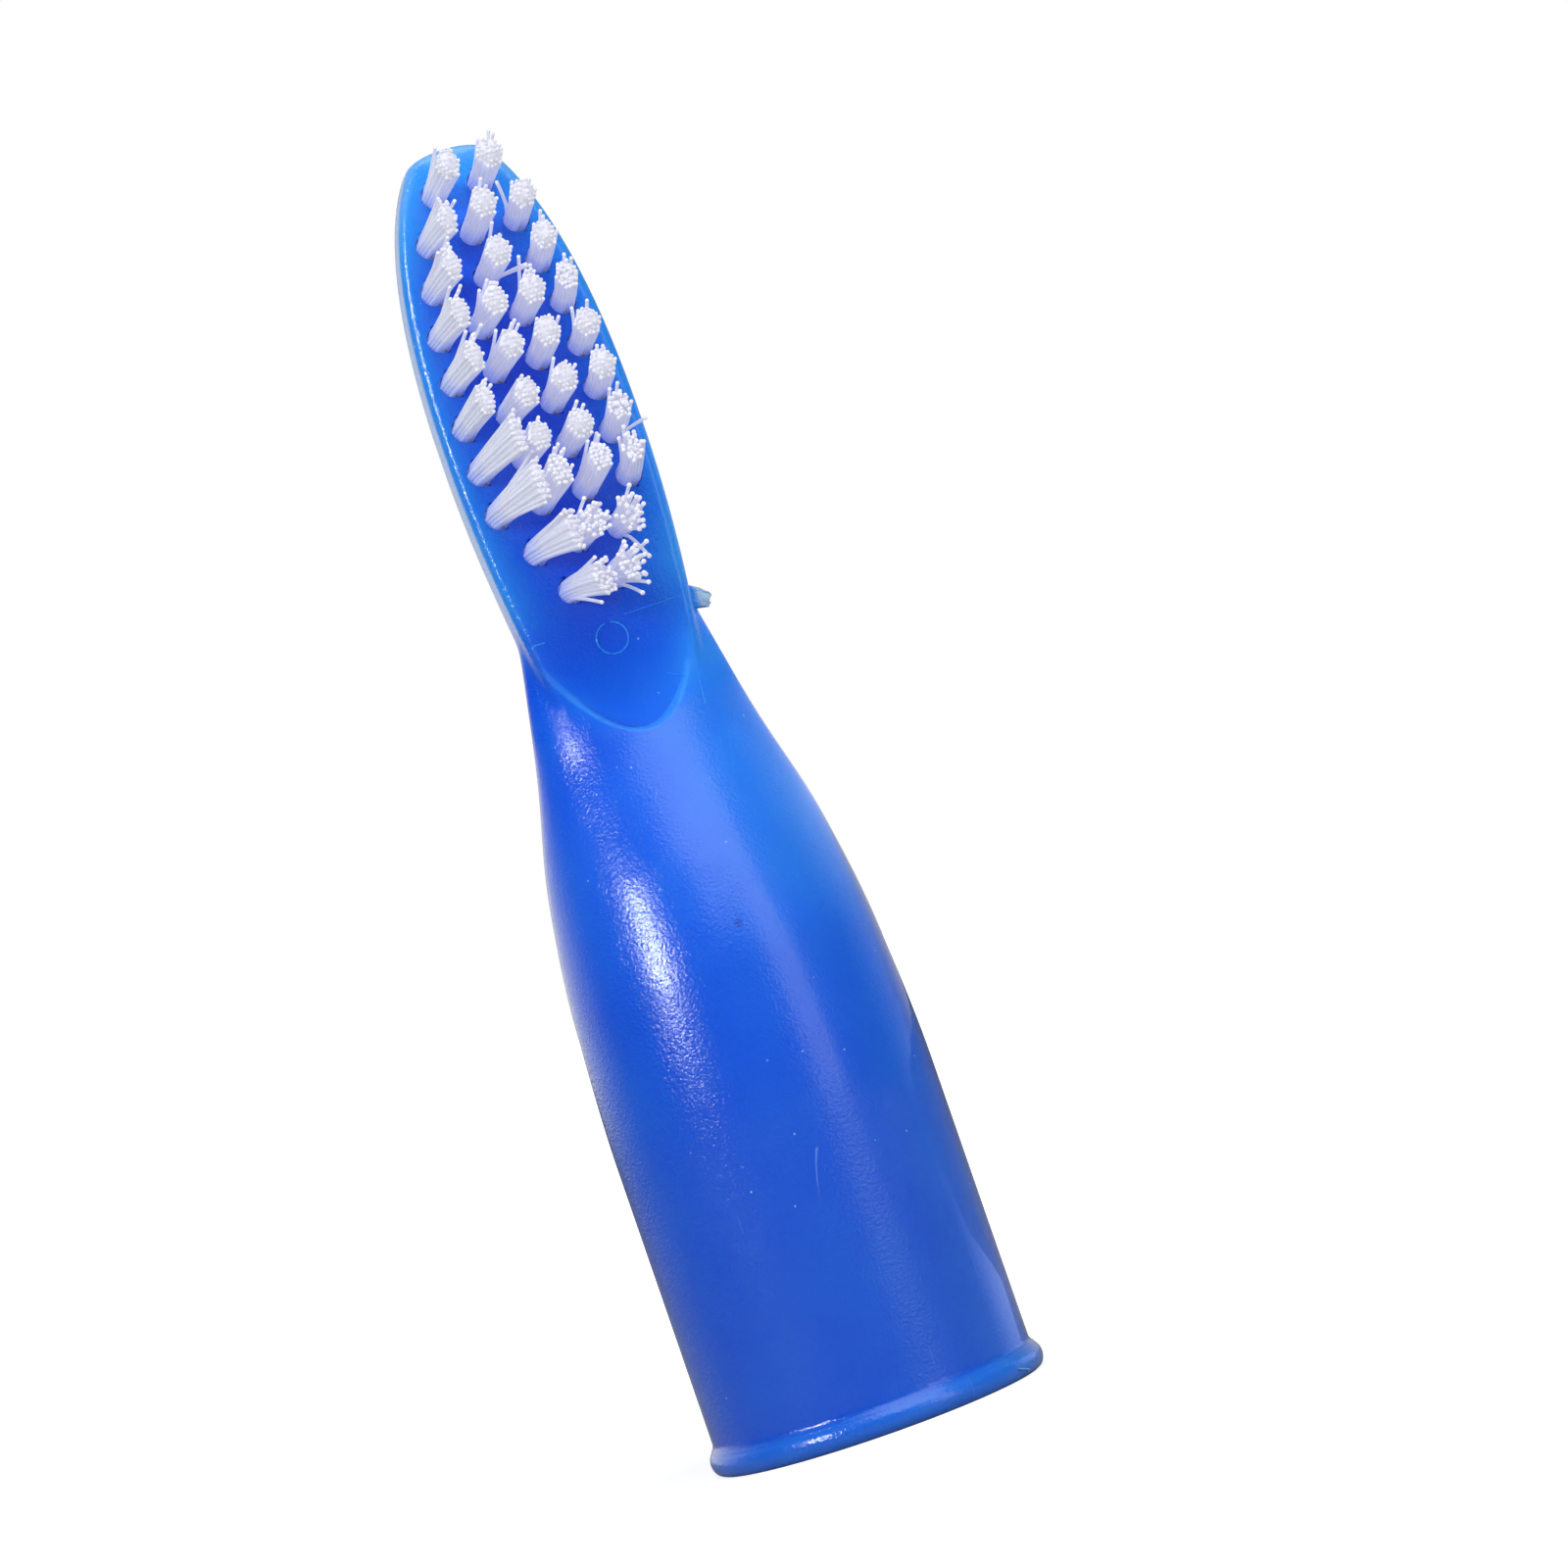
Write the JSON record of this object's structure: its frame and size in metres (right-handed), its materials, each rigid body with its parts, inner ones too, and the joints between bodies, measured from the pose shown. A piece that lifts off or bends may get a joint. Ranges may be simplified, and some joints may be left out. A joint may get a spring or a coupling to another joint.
{
  "type": "finger toothbrush",
  "caption": "Rigid finger sleeve with a rolled lip at its mouth and a leaf-shaped brush head above it, set with rows of short nylon bristle tufts.",
  "frame": {"origin": "centre of the mouth, on the flat end face of the lip", "axes": "+Z along the sleeve's axis from the mouth to the tip of the brush head, -Y the way the bristles point, +X to the right seen from the bristle side"},
  "size_m": [0.0208, 0.0208, 0.0799],
  "materials": {
    "blue_plastic": "semi-translucent blue polypropylene, satin gloss with a fine moulded micro-texture, lighter where the wall is thin",
    "nylon": "translucent white nylon filament, satin",
    "anchor_wire": "flat brass anchor wire, sheared ends"
  },
  "bodies": {
    "root": {"sleeve_body": "blue_plastic", "tuft_r01_c1": "nylon", "tuft_r01_c2": "nylon", "tuft_r02_c1": "nylon", "tuft_r02_c2": "nylon", "tuft_r02_c3": "nylon", "tuft_r03_c1": "nylon", "tuft_r03_c2": "nylon", "tuft_r03_c3": "nylon", "tuft_r04_c1": "nylon", "tuft_r04_c2": "nylon", "tuft_r04_c3": "nylon", "tuft_r04_c4": "nylon", "tuft_r05_c1": "nylon", "tuft_r05_c2": "nylon", "tuft_r05_c3": "nylon", "tuft_r05_c4": "nylon", "tuft_r06_c1": "nylon", "tuft_r06_c2": "nylon", "tuft_r06_c3": "nylon", "tuft_r06_c4": "nylon", "tuft_r07_c1": "nylon", "tuft_r07_c2": "nylon", "tuft_r07_c3": "nylon", "tuft_r07_c4": "nylon", "tuft_r08_c1": "nylon", "tuft_r08_c2": "nylon", "tuft_r08_c3": "nylon", "tuft_r08_c4": "nylon", "tuft_r09_c1": "nylon", "tuft_r09_c2": "nylon", "tuft_r09_c3": "nylon", "tuft_r10_c1": "nylon", "tuft_r10_c2": "nylon", "anchor_r02_c1": "anchor_wire", "anchor_r02_c2": "anchor_wire", "anchor_r02_c3": "anchor_wire", "anchor_r03_c1": "anchor_wire", "anchor_r03_c2": "anchor_wire", "anchor_r03_c3": "anchor_wire", "anchor_r04_c1": "anchor_wire", "anchor_r04_c2": "anchor_wire", "anchor_r04_c3": "anchor_wire", "anchor_r04_c4": "anchor_wire", "anchor_r05_c1": "anchor_wire", "anchor_r05_c2": "anchor_wire", "anchor_r05_c3": "anchor_wire", "anchor_r05_c4": "anchor_wire", "anchor_r06_c1": "anchor_wire", "anchor_r06_c2": "anchor_wire", "anchor_r06_c3": "anchor_wire", "anchor_r06_c4": "anchor_wire", "anchor_r07_c1": "anchor_wire", "anchor_r07_c2": "anchor_wire", "anchor_r07_c3": "anchor_wire", "anchor_r07_c4": "anchor_wire", "anchor_r08_c1": "anchor_wire", "anchor_r08_c2": "anchor_wire", "anchor_r08_c3": "anchor_wire", "anchor_r08_c4": "anchor_wire"}
  },
  "joints": []
}
